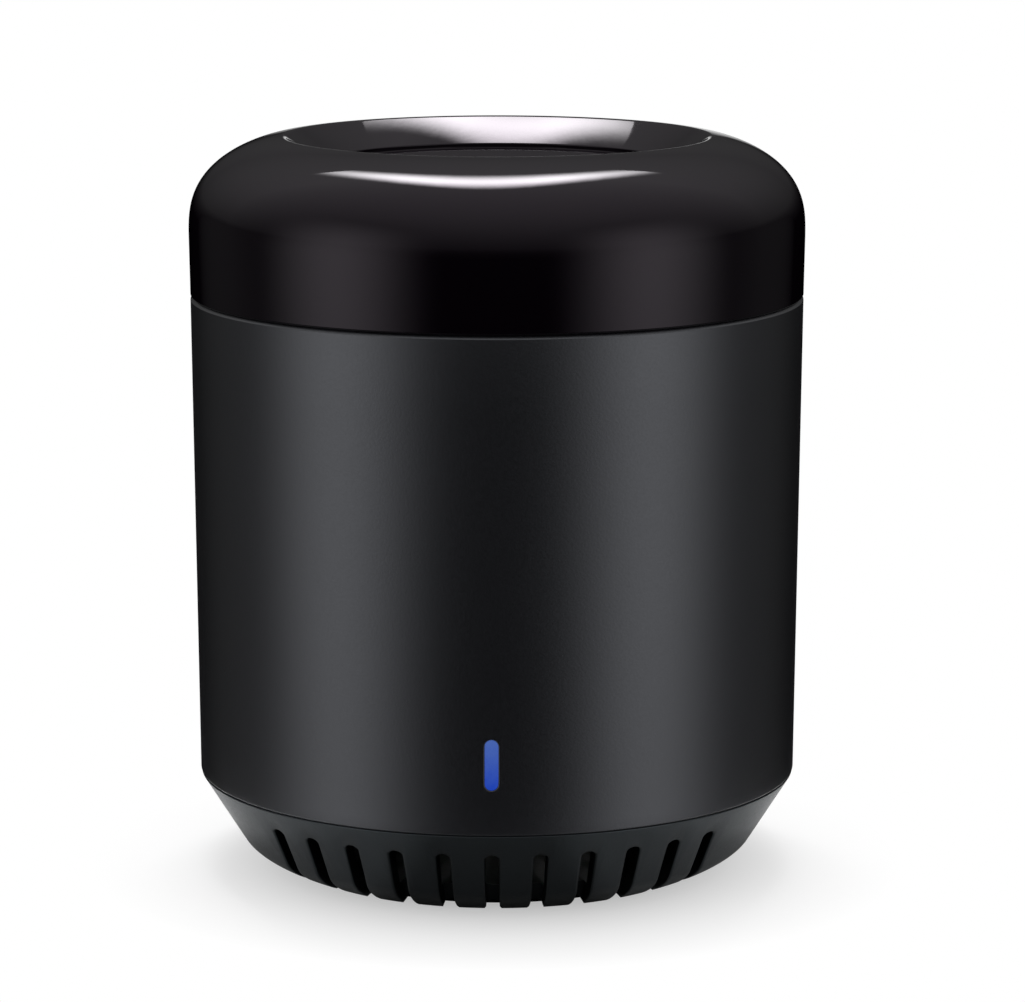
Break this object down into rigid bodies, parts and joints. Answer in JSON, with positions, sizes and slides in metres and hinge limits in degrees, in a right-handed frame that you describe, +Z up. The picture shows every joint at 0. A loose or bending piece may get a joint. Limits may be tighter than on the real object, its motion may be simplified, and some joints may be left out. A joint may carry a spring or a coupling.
{
  "type": "smart ir blaster",
  "caption": "Upright cylindrical infrared remote hub with a glossy dished cover, satin sleeve, vented base, status light, power inlet and recessed reset button.",
  "frame": {"origin": "centre of the foot pad's underside, on the surface that the object stands on", "axes": "+Z up along the body's axis, the front with the status light faces -Y, the power inlet and reset face +Y"},
  "size_m": [0.049, 0.049, 0.0589],
  "materials": {
    "cover_black": "gloss",
    "sleeve_grey": "satin",
    "base_black": "satin",
    "pad_rubber": "matte",
    "guide_blue": "gloss",
    "frame_white": "matte",
    "board_green": "satin",
    "module_blue": "satin",
    "tinned_steel": "satin",
    "gold_plate": "satin",
    "chip_black": "matte",
    "nylon_white": "matte",
    "emitter_clear": "gloss",
    "receiver_dark": "gloss",
    "ferrite_grey": "matte",
    "can_aluminium": "satin",
    "ceramic_tan": "matte",
    "wire_red": "satin"
  },
  "bodies": {
    "root": {"top_cover": "cover_black", "sleeve": "sleeve_grey", "base": "base_black", "foot_pad": "pad_rubber", "light_pipe": "guide_blue", "board_frame": "frame_white", "main_board": "board_green", "ir_board": "board_green", "usb_shell": "tinned_steel", "usb_tongue": "chip_black", "usb_contacts": "gold_plate", "reset_switch_body": "chip_black", "reset_switch_cover": "tinned_steel", "reset_switch_terminals": "tinned_steel", "reset_snap_dome": "tinned_steel", "status_led": "nylon_white", "wifi_board": "module_blue", "wifi_chip": "chip_black", "wifi_crystal": "tinned_steel", "wifi_shield": "tinned_steel", "wifi_antenna": "gold_plate", "wifi_header": "chip_black", "wifi_pins": "gold_plate", "flash_chip": "chip_black", "flash_chip_leads": "tinned_steel", "voltage_regulator": "chip_black", "regulator_leads": "tinned_steel", "power_inductor": "ferrite_grey", "capacitor_can": "can_aluminium", "capacitor_base": "chip_black", "ceramic_capacitors": "ceramic_tan", "chip_resistors": "chip_black", "ir_emitter_1": "emitter_clear", "ir_emitter_2": "emitter_clear", "ir_emitter_3": "emitter_clear", "ir_emitter_4": "emitter_clear", "ir_emitter_5": "emitter_clear", "ir_emitter_6": "emitter_clear", "ir_emitter_up": "emitter_clear", "ir_emitter_leads": "tinned_steel", "ir_receiver": "receiver_dark", "ir_receiver_leads": "tinned_steel", "led_drivers": "chip_black", "led_resistors": "chip_black", "link_socket_lower": "nylon_white", "link_plug_lower": "nylon_white", "link_wires": "wire_red", "link_plug_upper": "nylon_white", "link_socket_upper": "nylon_white", "base_screws": "tinned_steel", "board_screws": "tinned_steel"},
    "reset_button": {"reset_plunger": "nylon_white"}
  },
  "joints": [
    {"name": "reset_press", "type": "slide", "parent": "root", "child": "reset_button", "axis": [0, -1, 0], "range_m": [0, 0.00025], "stiffness_N_per_m": 6400}
  ]
}
